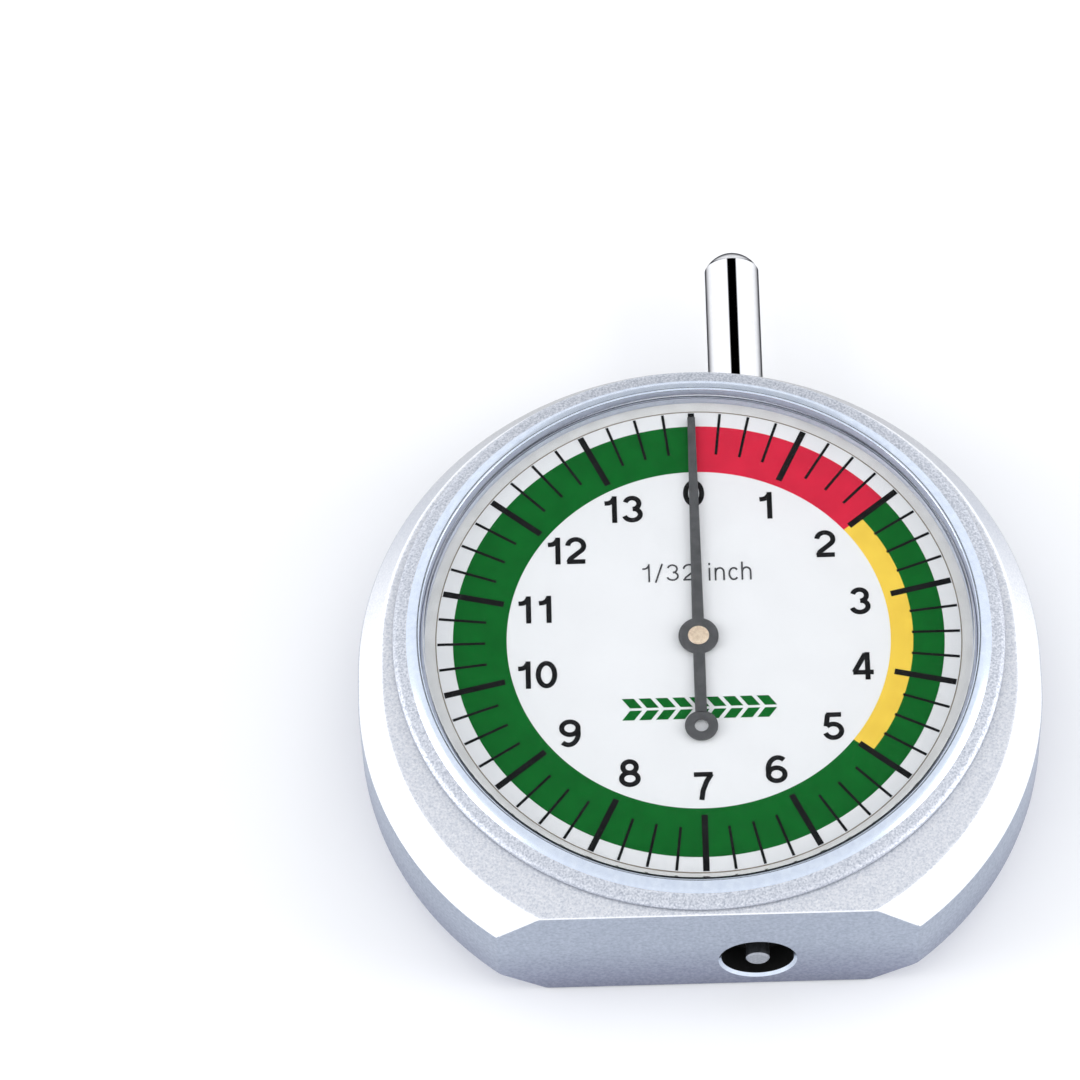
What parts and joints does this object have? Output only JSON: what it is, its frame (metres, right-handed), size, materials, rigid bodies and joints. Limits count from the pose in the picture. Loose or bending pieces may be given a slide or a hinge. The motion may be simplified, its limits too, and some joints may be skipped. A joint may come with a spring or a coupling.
{
  "type": "tire tread gauge",
  "caption": "Dial tread depth gauge: a push rod drives a probe out of a flat base, and a rack and pinion turn the pointer over a coloured dial.",
  "frame": {"origin": "on the dial axis, in the plane of the back face", "axes": "+X to the right of the dial, +Y along the push rod away from the measuring base, +Z out of the dial; the gauge lies on its back"},
  "size_m": [0.058, 0.0695, 0.0144],
  "materials": {
    "case_aluminium": "fine bead-blasted front, satin machined sides",
    "bezel_aluminium": "bead-blasted outside, polished lip",
    "clear_crystal": "clear, polished",
    "spacer_grey": "moulded, dark slate grey",
    "dial_print": "white enamel with printed colour band",
    "plate_brass": "fine brushed",
    "screw_steel": "turned and polished",
    "bush_bronze": "turned, oiled",
    "bush_black": "moulded acetal, black",
    "rod_chrome": "bright chrome plate",
    "rack_steel": "ground",
    "spring_steel": "drawn wire and strip",
    "pointer_grey": "satin dark grey",
    "boss_brass": "turned, polished"
  },
  "bodies": {
    "case": {"case_body": "case_aluminium", "bezel_ring": "bezel_aluminium", "crystal": "clear_crystal", "crystal_spacer": "spacer_grey", "dial_plate": "dial_print", "dial_pins": "screw_steel", "main_plate": "plate_brass", "top_bridge": "plate_brass", "pillars": "plate_brass", "bridge_screws": "screw_steel", "back_screws": "screw_steel", "foot_bush": "bush_bronze", "bridge_bush": "bush_bronze", "rod_bush": "bush_bronze", "probe_bush": "bush_black", "rack_guide": "plate_brass", "guide_screws": "screw_steel", "hairspring_stud": "screw_steel", "hairspring": "spring_steel", "return_spring": "spring_steel"},
    "plunger": {"push_rod": "rod_chrome", "rack_bar": "rack_steel", "probe_pin": "rack_steel", "stop_ring": "spring_steel", "spring_washer": "rack_steel"},
    "needle": {"pointer": "pointer_grey", "pointer_boss": "boss_brass", "arbor": "rack_steel", "pinion": "boss_brass", "hairspring_collet": "boss_brass"}
  },
  "joints": [
    {"name": "plunger_slide", "type": "slide", "parent": "case", "child": "plunger", "axis": [0, -1, 0], "range_m": [0, 0.01111], "stiffness_N_per_m": 95, "springref_m": -0.007, "deforming": ["return_spring"]},
    {"name": "pointer_spin", "type": "hinge", "parent": "case", "child": "needle", "pos_m": [0, 0, 0.012], "axis": [0, 0, -1], "range_deg": [0, 360], "deforming": ["hairspring"]}
  ],
  "couplings": [
    {"joint": "pointer_spin", "follows": "plunger_slide", "rad_per_m": 565.42}
  ]
}
